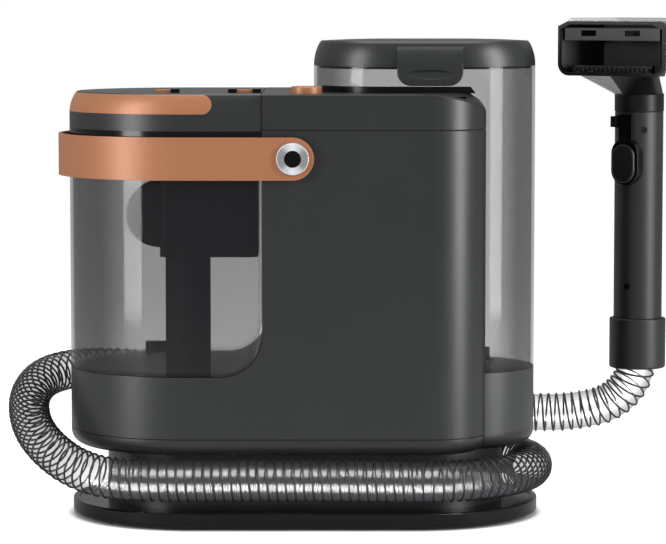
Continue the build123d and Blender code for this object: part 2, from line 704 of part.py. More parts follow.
def clean_tank_lid():
    lid = clean_lid_block()
    lid -= prism(tank_plan(-2 * WALL - CLEAN_LID_TAPER), TANK_TOP, TANK_TOP + CLEAN_LID_HEIGHT - 2 * WALL)
    # A pad stands a little proud of the lid's front and runs on down into the tab
    pad = clean_lid_block(TAB_GAP + TAB_THICKNESS)
    pad_top = TANK_TOP + CLEAN_LID_HEIGHT - 2 * CLEAN_LID_EDGE
    lid += pad & block(TAB_LEFT, TAB_RIGHT, -BEYOND, -TANK_RADIUS + CLEAN_LID_TAPER + 1, TANK_TOP, pad_top)
    middle = (TAB_LEFT + TAB_RIGHT) / 2
    tab_top = TANK_TOP + WALL
    outline = Pos(middle, (TAB_BOTTOM + tab_top) / 2) * Rectangle(TAB_RIGHT - TAB_LEFT, tab_top - TAB_BOTTOM)
    outline = fillet(outline.vertices().group_by(Axis.Y)[0], TAB_CORNER)
    tab = Pos(0, -TANK_RADIUS - TAB_GAP, 0) * extrude(Plane.XZ * outline, amount=TAB_THICKNESS)
    tab = fillet(tab.edges().group_by(Axis.Y)[0].sort_by(Axis.Z)[:-1], 1.0)
    lid += tab - finger_recess()
    knuckle_left = HINGE_LEFT + KNUCKLE_LENGTH + KNUCKLE_GAP
    knuckle_right = HINGE_RIGHT - KNUCKLE_LENGTH - KNUCKLE_GAP
    lid += rod_x(HINGE_KNUCKLE_RADIUS, knuckle_left, knuckle_right, HINGE_Y, HINGE_Z)
    lid += block(knuckle_left, knuckle_right, HINGE_Y - 2, HINGE_Y + HINGE_KNUCKLE_RADIUS, HINGE_Z, ARM_TOP)
    lid += block(knuckle_left, knuckle_right, TANK_RADIUS - 5, HINGE_Y, TANK_TOP + 1, ARM_TOP)
    lid -= rod_x(HINGE_PIN_RADIUS + FIT, HINGE_LEFT, HINGE_RIGHT, HINGE_Y, HINGE_Z)
    return lid


GASKET_GAP = 1.7
GASKET_WIDTH = 3.5
GASKET_DEPTH = 2.0


def clean_lid_gasket():
    """Ring that stands clear of the tank's wall, so that its back edge passes the rim as the lid turns."""
    ring = prism(tank_plan(-WALL - GASKET_GAP), TANK_TOP - GASKET_DEPTH, TANK_TOP)
    return ring - prism(tank_plan(-WALL - GASKET_GAP - GASKET_WIDTH), TANK_TOP - GASKET_DEPTH, TANK_TOP)


VALVE_TOP = 132.0


def valve_seat():
    bottom = DOCK_TOP + SEAM
    seat = rod_z(VALVE_RADIUS, bottom, VALVE_TOP, VALVE_X, 0)
    seat += rod_z(VALVE_RADIUS + 3, bottom + WALL, bottom + WALL + 2, VALVE_X, 0)
    seat -= rod_z(VALVE_RADIUS - 2, bottom, VALVE_TOP - 2, VALVE_X, 0)
    seat -= rod_z(2.3, bottom, VALVE_TOP, VALVE_X, 0)
    return seat


def valve_poppet():
    bottom = DOCK_TOP + SEAM
    poppet = rod_z(2.0, bottom, VALVE_TOP + 6, VALVE_X, 0)
    return poppet + rod_z(VALVE_RADIUS - 2.3, bottom + 0.4, bottom + 2.6, VALVE_X, 0)


def valve_spring():
    bottom = DOCK_TOP + SEAM + 2.8
    return rod_z(4.6, bottom, VALVE_TOP - 2.1, VALVE_X, 0) - rod_z(3.4, bottom, VALVE_TOP - 2.1, VALVE_X, 0)


# ---------------------------------------------------------------- button, motor, pump, board

BUTTON_FLOOR = 319.0
BUTTON_STEM = 4.0
BUTTON_HEAD_DEPTH = 11.0


def power_button():
    top = CAP_TOP + BUTTON_PROUD
    head = rod_z(BUTTON_RADIUS, top - BUTTON_HEAD_DEPTH, top, BUTTON_X, BUTTON_Y)
    head = fillet(head.edges().group_by(Axis.Z)[-1], 1.6)
    return head + rod_z(BUTTON_STEM, BODY_TOP + 4, top - BUTTON_HEAD_DEPTH + 1, BUTTON_X, BUTTON_Y)


def power_button_spring():
    top = CAP_TOP + BUTTON_PROUD - BUTTON_HEAD_DEPTH - 0.1
    bottom = BUTTON_FLOOR + 0.1
    coil = rod_z(BUTTON_STEM + 4, bottom, top, BUTTON_X, BUTTON_Y)
    return coil - rod_z(BUTTON_STEM + 2, bottom, top, BUTTON_X, BUTTON_Y)


def motor_mount():
    floor = TRAY_BOTTOM + TRAY_WALL
    ring = rod_z(MOTOR_RADIUS, floor, MOTOR_BOTTOM, MOTOR_X, 0)
    return ring - rod_z(MOTOR_RADIUS - 12, floor, MOTOR_BOTTOM, MOTOR_X, 0)


def vacuum_motor_can():
    can = rod_z(MOTOR_RADIUS, MOTOR_BOTTOM, MOTOR_TOP, MOTOR_X, 0)
    can = fillet(can.edges().group_by(Axis.Z)[-1], 6)
    can -= rod_z(MOTOR_RADIUS - 2, MOTOR_BOTTOM + 3, MOTOR_TOP - 3, MOTOR_X, 0)
    can -= rod_z(SHAFT_RADIUS + FIT, MOTOR_BOTTOM, MOTOR_TOP, MOTOR_X, 0)
    for turn in range(8):
        port = rod_x(5, MOTOR_RADIUS - 8, MOTOR_RADIUS + 8, 0, MOTOR_BOTTOM + 26)
        can -= Pos(MOTOR_X, 0, 0) * Rot(0, 0, 45 * turn) * port
    return can


def motor_rotor():
    """Shaft with the armature and a bladed fan."""
    rotor = rod_z(SHAFT_RADIUS, MOTOR_BOTTOM + 0.5, MOTOR_TOP + 4, MOTOR_X, 0)
    rotor += rod_z(24, MOTOR_BOTTOM + 55, MOTOR_TOP - 12, MOTOR_X, 0)
    fan_floor = MOTOR_BOTTOM + 14
    rotor += rod_z(MOTOR_RADIUS - 6, fan_floor, fan_floor + 3, MOTOR_X, 0)
    for turn in range(9):
        blade = block(6, MOTOR_RADIUS - 7, -1, 1, fan_floor + 2, fan_floor + 20)
        rotor += Pos(MOTOR_X, 0, 0) * Rot(0, 0, 40 * turn) * blade
    return rotor


def pump_body():
    floor = TRAY_BOTTOM + TRAY_WALL
    pump = block(-164, -122, -20, 20, floor, floor + 34)
    pump = fillet(pump.edges().filter_by(Axis.Z), 5)
    pump += rod_x(14, -150, -126, 0, floor + 34)
    return pump + rod_y(4, -32, -18, -143, floor + 12)


def control_board():
    front = -BODY_HALF_DEPTH + WALL + 6
    board = block(5, 70, front, front + 1.6, 205, 265)
    for x, z, size in ((15, 215, 7), (34, 222, 10), (55, 218, 8), (22, 248, 9), (48, 250, 12)):
        board += block(x - size / 2, x + size / 2, front + 1, front + size, z - size / 2, z + size / 2)
    return board


def suction_duct():
    """Pipe from the neck's rear outlet, along the neck and up to the dirty tank's floor."""
    start_y = NECK_RADIUS - NECK_WALL - 12
    route = FilletPolyline((RISER_X, 0, WINDOW_SILL - 0.1), (RISER_X, 0, HOSE_Z), (OUTLET_X, 0, HOSE_Z),
                           (OUTLET_X, start_y, HOSE_Z), radius=16)
    section = Pos(RISER_X, 0, WINDOW_SILL - 0.1) * Circle(OUTLET_RADIUS)
    bore = Pos(RISER_X, 0, WINDOW_SILL - 0.1) * Circle(OUTLET_RADIUS - 2)
    return sweep(section, path=route) - sweep(bore, path=route)


def exhaust_grille():
    back = BODY_HALF_DEPTH
    half = GRILLE_WIDTH / 2 - FIT
    grille = block(GRILLE_X - half, GRILLE_X + half, back - WALL, back - 0.3,
                   GRILLE_Z - GRILLE_HEIGHT / 2 + FIT, GRILLE_Z + GRILLE_HEIGHT / 2 - FIT)
    rows = 7
    step = (GRILLE_HEIGHT - 6) / rows
    for row in range(rows):
        z = GRILLE_Z - GRILLE_HEIGHT / 2 + 3 + step * (row + 0.5)
        slot = block(GRILLE_X - GRILLE_WIDTH / 2 + 5, GRILLE_X + GRILLE_WIDTH / 2 - 5, back - 5, back + 1,
                     z - 1.4, z + 1.4)
        grille -= slot
    return grille


def power_cord_gland():
    back = BODY_HALF_DEPTH
    gland = rod_y(GLAND_RADIUS, back - WALL - 4, back + 1, GLAND_X, GLAND_Z)
    gland += rod_y(GLAND_RADIUS + 3, back, back + 2.5, GLAND_X, GLAND_Z)
    boot = Pos(GLAND_X, back + 2.5 + 11, GLAND_Z) * Rot(-90, 0, 0) * Cone(GLAND_RADIUS, GLAND_RADIUS - 2.2, 22)
    gland += boot
    return gland - rod_y(CORD_BORE, back - WALL - 6, back + 30, GLAND_X, GLAND_Z)


# ---------------------------------------------------------------- hose and what holds it

HOSE_START_X = 62.0
HOSE_REAR_Y = 115.0
TURN_CENTRE_X = 85.0
TURN_STEP = 30.0


def hose_points():
    """Route of the hose's centre line, from the outlet once round the base and up into the wand."""
    points = [(HOSE_START_X, HOSE_TURN, HOSE_Z)]
    corner = HOSE_TURN / math.cos(math.radians(TURN_STEP / 2))
    for step in range(6):
        angle = math.radians(75 - TURN_STEP * step)
        points.append((TURN_CENTRE_X + corner * math.cos(angle), corner * math.sin(angle), HOSE_Z))
    points += [
        (48, -94.5, 38.3), (-40, -92.5, 38.6), (-108, -92, 38), (-148, -88, 38.5),
        (-175, -75, 43.5), (-197, -57, 54), (-215, -29, 68), (-223, 4, 82), (-223, 37, 93),
        (-214, 70, 101), (-192, 97, 104), (-160, 113, 103),
        (-122, HOSE_REAR_Y, 100), (-50, 115.6, 91.5), (60, 115.4, 78), (150, HOSE_REAR_Y, 67),
        (205, 113.5, 63.5), (239, 110.5, 68), (256, 106.5, 74.8), (269, 103, 87.5),
        (WAND_X, WAND_Y, 104), (WAND_X, WAND_Y, CUFF_SHOULDER)]
    return [Vector(*point) for point in points]


def hose_radii(points):
    """Each bend as large as its two runs allow."""
    radii = []
    for before, corner, after in zip(points, points[1:], points[2:]):
        run = min((corner - before).length, (after - corner).length)
        turn = (corner - before).get_angle(after - corner)
        radii.append(0.45 * run / math.tan(math.radians(turn / 2)))
    return radii


def hose():
    points = hose_points()
    radii = hose_radii(points)
    print("hose radii:", [round(radius) for radius in radii])
    route = FilletPolyline(*points, radius=radii)
    start = Plane(origin=points[0], z_dir=(points[1] - points[0]))
    tube = sweep(start * Circle(HOSE_RADIUS), path=route)
    print("hose length:", round(route.length), "volume ratio:",
          round(tube.volume / (math.pi * HOSE_RADIUS ** 2 * route.length), 4))
    return tube


def hose_outlet():
    """Elbow out of the neck's back, with a collar that the hose's end is pushed into."""
    start_y = NECK_RADIUS - NECK_WALL - 12
    route = FilletPolyline((OUTLET_X, start_y, HOSE_Z), (OUTLET_X, HOSE_TURN, HOSE_Z),
                           (HOSE_START_X, HOSE_TURN, HOSE_Z), radius=20)
    start = Plane(origin=(OUTLET_X, start_y, HOSE_Z), z_dir=(0, 1, 0))
    elbow = sweep(start * Circle(OUTLET_RADIUS), path=route)
    collar = rod_x(HOSE_RADIUS + 3, HOSE_START_X - 14, HOSE_START_X + 6, HOSE_TURN, HOSE_Z)
    collar = fillet(collar.edges().group_by(Axis.X)[0], 1.5)
    elbow += collar
    elbow -= sweep(start * Circle(OUTLET_RADIUS - 2), path=route)
    return elbow - rod_x(HOSE_RADIUS + HOSE_SLACK, HOSE_START_X, HOSE_START_X + 6, HOSE_TURN, HOSE_Z)


HOOKS = [(-122.0, 100.0), (85.0, 75.0)]


def rear_hose_hooks():
    """Open cradles on the back wall that carry the hose's rear run."""
    hooks = []
    back = BODY_HALF_DEPTH
    for x, z in HOOKS:
        side = plan_wall_y(x)
        left = x - HOOK_WIDTH / 2
        right = x + HOOK_WIDTH / 2
        cradle = rod_x(HOOK_BORE + HOOK_WALL, left, right, HOSE_REAR_Y, z)
        cradle += block(left, right, side, HOSE_REAR_Y, z - 4, z + HOOK_BORE + 8)
        cradle -= rod_x(HOOK_BORE, left, right, HOSE_REAR_Y, z)
        cradle -= block(left, right, back + HOOK_WALL, 2 * back, z + 2, z + 60)
        cradle -= prism(body_plan(), 0, CAP_TOP)
        hooks.append(biggest(cradle))
    return Compound(children=hooks)


def plan_wall_y(x):
    """Depth of the body's back wall at a place along its length."""
    left_centre = BODY_LEFT + BODY_HALF_DEPTH
    offset = min(0.0, x + HOOK_WIDTH / 2 - left_centre)
    return math.sqrt(BODY_HALF_DEPTH ** 2 - offset ** 2) - 6


# ---------------------------------------------------------------- wand

def placed(shape):
    """Moves a wand piece, drawn on its own axis with its mouth to -Y, to its place."""
    return Pos(WAND_X, WAND_Y, 0) * Rot(0, 0, WAND_TURN) * shape


def upright_slot(half_width, bottom, top, front, back):
    """Upright oval bar that runs from front to back."""
    face = Plane.XZ * (Pos(0, (bottom + top) / 2) * Rot(0, 0, 90) * SlotOverall(top - bottom, 2 * half_width))
    return Pos(0, back, 0) * extrude(face, amount=back - front)


def hose_wand_cuff():
    cuff = rod_z(CUFF_RADIUS, CUFF_BOTTOM, CUFF_TOP, 0, 0)
    cuff = fillet(cuff.edges().group_by(Axis.Z)[0], 2.0)
    cuff = fillet(cuff.edges().group_by(Axis.Z)[-1], 1.2)
    cuff -= rod_z(HOSE_RADIUS + CUFF_SLACK, CUFF_BOTTOM, CUFF_SHOULDER, 0, 0)
    cuff -= rod_z(SPIGOT_RADIUS + FIT, CUFF_SHOULDER + 2, CUFF_TOP, 0, 0)
    return placed(cuff - rod_z(SPIGOT_RADIUS - 4, CUFF_BOTTOM, CUFF_TOP, 0, 0))


SHELL_SPLIT = -6.0
WAND_WALL = 2.5
WAND_SCREWS = [(2.0, 173.0), (41.0, 302.6)]
WAND_SCREW_RADIUS = 2.8
WAND_SCREW_INSET = 0.4
WAND_SCREW_DEPTH = 2.3
TRIGGER_GAP = 0.4
TRIGGER_REAR = 15.5
TRIGGER_SPRING_RADIUS = 5.0
VALVE_HALF = 8.0
VALVE_BOTTOM = 250.0
VALVE_HEAD = 300.0
SPRAY_TUBE_RADIUS = 3.0
SPRAY_TUBE_START = 150.0
SPRAY_TUBE_END = 326.0
RELEASE_FRONT = 18.6
RELEASE_BACK = 8.5
RELEASE_LEFT = -16.6
RELEASE_RIGHT = -10.4
RELEASE_BOTTOM = 304.5
RELEASE_TOP = 313.5


def trigger_slot():
    """Opening that the trigger slides in, through the bezel and the front shell."""
    bottom = TRIGGER_BOTTOM - TRIGGER_GAP
    top = TRIGGER_TOP + TRIGGER_GAP
    return upright_slot(TRIGGER_HALF_WIDTH + TRIGGER_GAP, bottom, top, -2 * HANDLE_RADIUS, 0)


def handle_tube():
    foot = CUFF_TOP + 0.3
    tube = rod_z(HANDLE_RADIUS, foot, HANDLE_TOP, 0, 0)
    tube += rod_z(SPIGOT_RADIUS, CUFF_SHOULDER + 2.3, foot + 1, 0, 0)
    tube += rod_z(SPIGOT_RADIUS, HANDLE_TOP - 1, NOZZLE_COLLAR_TOP - 3, 0, 0)
    tube -= rod_z(SPIGOT_RADIUS - WAND_WALL, CUFF_BOTTOM, WINDOW_TOP, 0, 0)
    tube -= trigger_slot()
    release = block(RELEASE_LEFT - 0.4, RELEASE_RIGHT + 0.4, -2 * HANDLE_RADIUS, -5,
                    RELEASE_BOTTOM - 0.5, RELEASE_TOP + 0.5)
    return tube - release


def wand_front_shell():
    half = handle_tube() & block(-BEYOND, BEYOND, -BEYOND, SHELL_SPLIT, 0, BEYOND)
    for angle, z in WAND_SCREWS:
        half -= Rot(0, 0, angle) * rod_y(WAND_SCREW_RADIUS + 0.1, -HANDLE_RADIUS - 2,
                                         -HANDLE_RADIUS + WAND_SCREW_DEPTH + 0.1, 0, z)
    return placed(biggest(half))


def wand_rear_shell():
    half = handle_tube() & block(-BEYOND, BEYOND, SHELL_SPLIT, BEYOND, 0, BEYOND)
    return placed(biggest(half))


def wand_screws():
    screws = []
    for angle, z in WAND_SCREWS:
        head = rod_y(WAND_SCREW_RADIUS, WAND_SCREW_INSET - HANDLE_RADIUS, WAND_SCREW_DEPTH - HANDLE_RADIUS, 0, z)
        screws.append(placed(Rot(0, 0, angle) * head))
    return Compound(children=[screw.solids()[0] for screw in screws])


def wand_bezel():
    outer_half = TRIGGER_HALF_WIDTH + BEZEL_WIDTH
    bottom = TRIGGER_BOTTOM - BEZEL_WIDTH
    top = TRIGGER_TOP + BEZEL_WIDTH + 2.5
    bezel = upright_slot(outer_half, bottom, top, -BEZEL_FACE, -10)
    bezel = fillet(bezel.edges().group_by(Axis.Y)[0], 1.0)
    neck = block(-6, 6, -BEZEL_FACE + 1, -10, top - 8, HANDLE_TOP - 1.5)
    bezel += neck
    bezel -= rod_z(HANDLE_RADIUS, CUFF_TOP, HANDLE_TOP, 0, 0)
    bezel -= trigger_slot()
    return placed(biggest(bezel))


def trigger_button():
    button = upright_slot(TRIGGER_HALF_WIDTH, TRIGGER_BOTTOM, TRIGGER_TOP, -TRIGGER_FACE, -TRIGGER_REAR)
    return placed(fillet(button.edges().group_by(Axis.Y)[0], 1.8))


def trigger_spring():
    middle = (TRIGGER_BOTTOM + TRIGGER_TOP) / 2
    coil = rod_y(TRIGGER_SPRING_RADIUS, -TRIGGER_REAR + 0.1, -VALVE_HALF - 1.1, 0, middle)
    return placed(coil - rod_y(TRIGGER_SPRING_RADIUS - 1.4, -TRIGGER_REAR, -VALVE_HALF, 0, middle))


def spray_valve():
    valve = block(-VALVE_HALF, VALVE_HALF, -VALVE_HALF - 1, VALVE_HALF, VALVE_BOTTOM, VALVE_HEAD)
    valve = fillet(valve.edges().filter_by(Axis.Z), SPRAY_TUBE_RADIUS)
    valve += rod_z(SPRAY_TUBE_RADIUS, SPRAY_TUBE_START, VALVE_BOTTOM + 1, 0, 4)
    return placed(valve + rod_z(SPRAY_TUBE_RADIUS, VALVE_HEAD - 1, SPRAY_TUBE_END, 0, 0))


def nozzle_release_button():
    button = block(RELEASE_LEFT, RELEASE_RIGHT, -RELEASE_FRONT, -RELEASE_BACK, RELEASE_BOTTOM, RELEASE_TOP)
    return placed(button)


def head_outline(shrink, bottom, top):
    """Front outline of the head: cut top corners and rounded lower corners."""
    half = HEAD_HALF_WIDTH - shrink
    low = bottom + shrink
    high = top - shrink
    face = make_face(Polyline((-half, low), (half, low), (half, high - 4), (half - 9, high),
                              (-half + 9, high), (-half, high - 4), (-half, low)))
    corners = face.vertices().group_by(Axis.Y)[0]
    return Plane.XZ * fillet(corners, 10 - shrink)


def tapering_plan(front_half, back_half, front, knee, back):
    """Plan outline that is as wide as its front for a little way and then narrows to the back."""
    return make_face(Polyline((-front_half, front), (front_half, front), (front_half, knee), (back_half, back),
                              (-back_half, back), (-front_half, knee), (-front_half, front)))


def head_space(shrink, front, back):
    """The head's outline in front view, narrowing to the back in plan."""
    slant = 1.17 * shrink
    plan = tapering_plan(HEAD_HALF_WIDTH - shrink, HEAD_BACK_HALF_WIDTH - slant, -2 * HEAD_FRONT,
                         HEAD_STRAIGHT - HEAD_FRONT, -HEAD_BACK)
    straight = Pos(0, back, 0) * extrude(head_outline(shrink, HEAD_BOTTOM, HEAD_TOP), amount=back - front)
    return straight & prism(plan, HEAD_BOTTOM, HEAD_TOP)


DUCT_HALF_WIDTH = 42.0
DUCT_BACK_HALF_WIDTH = 24.5
DUCT_FRONT = 43.0
DUCT_BACK = 11.0
DUCT_CORNER = 7.0


def duct_mouth(shrink):
    """Plan outline of the duct's wide end, where it opens into the head."""
    face = make_face(Polyline(
        (-DUCT_HALF_WIDTH + shrink, -DUCT_FRONT + shrink), (DUCT_HALF_WIDTH - shrink, -DUCT_FRONT + shrink),
        (DUCT_BACK_HALF_WIDTH - shrink, -DUCT_BACK - shrink), (-DUCT_BACK_HALF_WIDTH + shrink, -DUCT_BACK - shrink),
        (-DUCT_HALF_WIDTH + shrink, -DUCT_FRONT + shrink)))
    return fillet(face.vertices(), DUCT_CORNER - shrink)


def duct_space(shrink):
    """Tapering passage from the wide head down to the round collar; its ends sit 1 mm inside both."""
    wide = Pos(0, 0, HEAD_BOTTOM + 1) * duct_mouth(shrink)
    round_end = Plane(origin=(0, 0, NOZZLE_COLLAR_TOP - 1)) * Circle(HANDLE_RADIUS - 0.3 - shrink)
    return loft([round_end, wide])


def nozzle_collar():
    collar = rod_z(HANDLE_RADIUS + 0.4, HANDLE_TOP + 0.3, NOZZLE_COLLAR_TOP, 0, 0)
    collar = fillet(collar.edges().group_by(Axis.Z)[0], 0.8)
    return collar - rod_z(SPIGOT_RADIUS + 0.07, HANDLE_TOP, NOZZLE_COLLAR_TOP, 0, 0)


def nozzle_head():
    """Head, the dark half of the duct below it and the collar, in one moulding."""
    head = head_space(0, -HEAD_FRONT, -HEAD_BACK)
    head -= head_space(HEAD_WALL, -HEAD_FRONT - 1, -HEAD_BACK - HEAD_WALL)
    head += duct_space(0) & block(DUCT_SPLIT, BEYOND, -BEYOND, BEYOND, 0, BEYOND)
    head += nozzle_collar()
    head -= duct_space(DUCT_WALL)
    return placed(head - prism(duct_mouth(2 * DUCT_WALL), HEAD_BOTTOM, HEAD_BOTTOM + 2 * HEAD_WALL))


def nozzle_duct():
    """Clear half of the duct, glued to the dark half."""
    half = (duct_space(0) - duct_space(DUCT_WALL)) & block(-BEYOND, DUCT_SPLIT, -BEYOND, BEYOND, 0, BEYOND)
    return placed(half - head_space(0, -HEAD_FRONT, -HEAD_BACK) - nozzle_collar())


HOOD_HALF_WIDTH = 47.0
HOOD_BACK_HALF_WIDTH = 22.0
HOOD_FRONT = 40.0
HOOD_BACK = -6.0


def hood_space(shrink, rounding):
    """The clear hood's block, rounded over from the front to the back."""
    plan = tapering_plan(HOOD_HALF_WIDTH - 1.2 * shrink, HOOD_BACK_HALF_WIDTH - 1.2 * shrink,
                         -HOOD_FRONT + shrink, -HOOD_FRONT + 2 * shrink + 1, -HOOD_BACK - shrink)
    side = Pos(-HOOD_FRONT / 2 - HOOD_BACK / 2, (HEAD_BOTTOM + HEAD_WALL + WINDOW_TOP) / 2) * RectangleRounded(
        HOOD_FRONT - HOOD_BACK - 2 * shrink, WINDOW_TOP - HEAD_BOTTOM - HEAD_WALL - 2 * shrink, rounding)
    return prism(plan, 0, BEYOND) & extrude(Plane.YZ * side, amount=BEYOND, both=True)


def nozzle_window():
    """Clear hood over the back and top of the head."""
    cover = hood_space(0, 7) - hood_space(HOOD_WALL, 7 - HOOD_WALL)
    cover -= head_space(-0.2, -2 * HEAD_FRONT, -HEAD_BACK + 0.2)
    return placed(biggest(cover - duct_space(-0.3)))


SPRAY_TIPS = (-22.0, 19.0)
TIP_HALF_WIDTH = 7.0
BAR_THICKNESS = 3.0
BAR_HEIGHT = 10.0


def spray_bar():
    """Bar across the top of the mouth with two slotted spray tips."""
    half = HEAD_HALF_WIDTH - HEAD_WALL - 3
    top = HEAD_TOP - HEAD_WALL - 3
    front = -HEAD_FRONT + 2
    bar = block(-half, half, front, front + BAR_THICKNESS, top - BAR_HEIGHT, top)
    for x in SPRAY_TIPS:
        bar -= block(x - TIP_HALF_WIDTH, x + TIP_HALF_WIDTH, -HEAD_FRONT, 0, top - 6.5, top - 1.8)
    return placed(bar)


BRUSH_HALF_LENGTH = 36.0
BRUSH_HEIGHT = 6.0
TUFTS = 17
TUFT_RADIUS = 1.5


def brush_strip():
    """Bar along the foot of the mouth with a row of bristle tufts."""
    floor = HEAD_BOTTOM + HEAD_WALL
    front = 4 - HEAD_FRONT
    strip = block(-BRUSH_HALF_LENGTH, BRUSH_HALF_LENGTH, front, front + 5, floor, floor + BRUSH_HEIGHT)
    reach = BRUSH_HALF_LENGTH - 2
    for index in range(TUFTS):
        x = -reach + 2 * reach * index / (TUFTS - 1)
        strip += rod_y(TUFT_RADIUS, -HEAD_FRONT - 1, -HEAD_FRONT + 5, x, floor + BRUSH_HEIGHT / 2)
    return placed(strip)


# ---------------------------------------------------------------- build

walls_of_body = body_walls()

NODES = {
    "base_plate": base_plate(),
    "rubber_feet": rubber_feet(),
    "case_screws": case_screws(),
    "hose_neck": hose_neck(),
    "body_tray": body_tray(),
    "front_shell": front_shell(walls_of_body),
    "rear_shell": rear_shell(walls_of_body),
    "tank_cradle": tank_cradle(),
    "tank_bay_liner": tank_bay_liner(),
    "clean_tank_dock": clean_tank_dock(),
    "top_cap": top_cap(),
    "tank_collar": tank_collar(),
    "handle_pivot_pins": handle_pivot_pins(),
    "strap_handle": strap_handle(),
    "pivot_rings": pivot_rings(),
    "dirty_tank_bowl": dirty_tank_bowl(),
    "riser_pipe": riser_pipe(),
    "tank_gasket": tank_gasket(),
    "dirty_lid": dirty_lid(),
    "lid_trim": lid_trim(),
    "latch_sockets": latch_sockets(),
    "lid_latch_left": lid_latch("left"),
    "lid_latch_right": lid_latch("right"),
    "separator_housing": separator_housing(),
    "float_drum": float_drum(),
    "float_ball": float_ball(),
    "clean_tank_shell": clean_tank_shell(),
    "clean_lid_hinge_pin": clean_lid_hinge_pin(),
    "clean_tank_lid": clean_tank_lid(),
    "clean_lid_gasket": clean_lid_gasket(),
    "valve_seat": valve_seat(),
    "valve_poppet": valve_poppet(),
    "valve_spring": valve_spring(),
    "power_button": power_button(),
    "power_button_spring": power_button_spring(),
    "motor_mount": motor_mount(),
    "vacuum_motor_can": vacuum_motor_can(),
    "motor_rotor": motor_rotor(),
    "pump_body": pump_body(),
    "control_board": control_board(),
    "suction_duct": suction_duct(),
    "exhaust_grille": exhaust_grille(),
    "power_cord_gland": power_cord_gland(),
    "hose_outlet": hose_outlet(),
    "rear_hose_hooks": rear_hose_hooks(),
    "hose": hose(),
    "hose_wand_cuff": hose_wand_cuff(),
    "wand_front_shell": wand_front_shell(),
    "wand_rear_shell": wand_rear_shell(),
    "wand_screws": wand_screws(),
    "wand_bezel": wand_bezel(),
    "trigger_button": trigger_button(),
    "trigger_spring": trigger_spring(),
    "spray_valve": spray_valve(),
    "nozzle_release_button": nozzle_release_button(),
    "nozzle_duct": nozzle_duct(),
    "nozzle_head": nozzle_head(),
    "nozzle_window": nozzle_window(),
    "spray_bar": spray_bar(),
    "brush_strip": brush_strip(),
}

for node, shape in NODES.items():
    save(node, shape)
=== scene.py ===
"""A portable carpet cleaner: two see-through tanks on an oval base, a clear hose and a hand wand."""

import math

import bmesh
import bpy
from mathutils import Matrix, Vector


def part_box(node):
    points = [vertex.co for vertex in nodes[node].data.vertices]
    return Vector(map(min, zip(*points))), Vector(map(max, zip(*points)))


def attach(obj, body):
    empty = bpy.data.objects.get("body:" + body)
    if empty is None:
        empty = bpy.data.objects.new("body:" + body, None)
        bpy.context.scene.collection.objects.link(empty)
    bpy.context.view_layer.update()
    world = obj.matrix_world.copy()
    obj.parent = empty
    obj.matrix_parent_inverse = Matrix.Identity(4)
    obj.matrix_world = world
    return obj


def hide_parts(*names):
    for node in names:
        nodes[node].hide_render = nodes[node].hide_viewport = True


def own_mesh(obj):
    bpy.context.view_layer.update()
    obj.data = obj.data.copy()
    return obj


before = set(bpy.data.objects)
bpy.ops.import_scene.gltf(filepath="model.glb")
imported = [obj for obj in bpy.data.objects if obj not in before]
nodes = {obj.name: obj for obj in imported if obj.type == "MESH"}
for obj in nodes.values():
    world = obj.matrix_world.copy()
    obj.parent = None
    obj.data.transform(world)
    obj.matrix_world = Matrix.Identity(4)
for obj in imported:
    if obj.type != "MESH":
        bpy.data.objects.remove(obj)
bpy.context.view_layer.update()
MM = 0.001


# Base plate: a flat oval foot in polished black ABS, moulded with a thin rim that the neck sits in.
# It stands on five moulded rubber feet, and four zinc-plated screws go up through it into the neck.

def linear(srgb):
    """The linear colour of an sRGB hex value."""
    channels = [int(srgb[i:i + 2], 16) / 255 for i in (0, 2, 4)]
    return [c / 12.92 if c <= 0.04045 else ((c + 0.055) / 1.055) ** 2.4 for c in channels] + [1.0]


def add_node(tree, kind, inputs=None, **settings):
    """Adds a node; an input is a value, or the (node, output name) that it is linked from."""
    node = tree.nodes.new(kind)
    for name, value in settings.items():
        setattr(node, name, value)
    for socket, value in (inputs or {}).items():
        if isinstance(value, tuple) and isinstance(value[0], bpy.types.Node):
            tree.links.new(value[0].outputs[value[1]], node.inputs[socket])
        else:
            node.inputs[socket].default_value = value
    return node


def empty_material(name):
    """A material with no nodes but its output, and its node tree."""
    material = bpy.data.materials.new(name)
    material.use_nodes = True
    material.node_tree.nodes.clear()
    return material, material.node_tree


def show(tree, shader):
    add_node(tree, "ShaderNodeOutputMaterial", {"Surface": (shader, 0)})


def moulded(name, colour, lighter, roughness, grain_mm, grain_depth_mm, **constants):
    """A moulded plastic or rubber: the mould's fine grain, and slow cloudiness in colour and gloss."""
    material, tree = empty_material(name)
    place = add_node(tree, "ShaderNodeTexCoord")
    cloud = add_node(tree, "ShaderNodeTexNoise", {
        "Vector": (place, "Object"), "Scale": 1 / (60 * MM), "Detail": 3.0})
    tint = add_node(tree, "ShaderNodeMix", {
        0: (cloud, "Fac"), 6: linear(colour), 7: linear(lighter)}, data_type="RGBA")
    gloss = add_node(tree, "ShaderNodeMapRange", {
        "Value": (cloud, "Fac"), "To Min": roughness - 0.03, "To Max": roughness + 0.03})
    grain = add_node(tree, "ShaderNodeTexNoise", {
        "Vector": (place, "Object"), "Scale": 1 / (grain_mm * MM), "Detail": 2.0})
    bump = add_node(tree, "ShaderNodeBump", {
        "Height": (grain, "Fac"), "Distance": grain_depth_mm * MM, "Strength": 0.6})
    shader = add_node(tree, "ShaderNodeBsdfPrincipled", {
        "Base Color": (tint, 2), "Roughness": (gloss, 0), "Normal": (bump, 0), **constants})
    show(tree, shader)
    return material


def dress(material, *names):
    """Gives CAD nodes their finish."""
    for name in names:
        mesh = nodes[name].data
        mesh.materials.clear()
        mesh.materials.append(material)


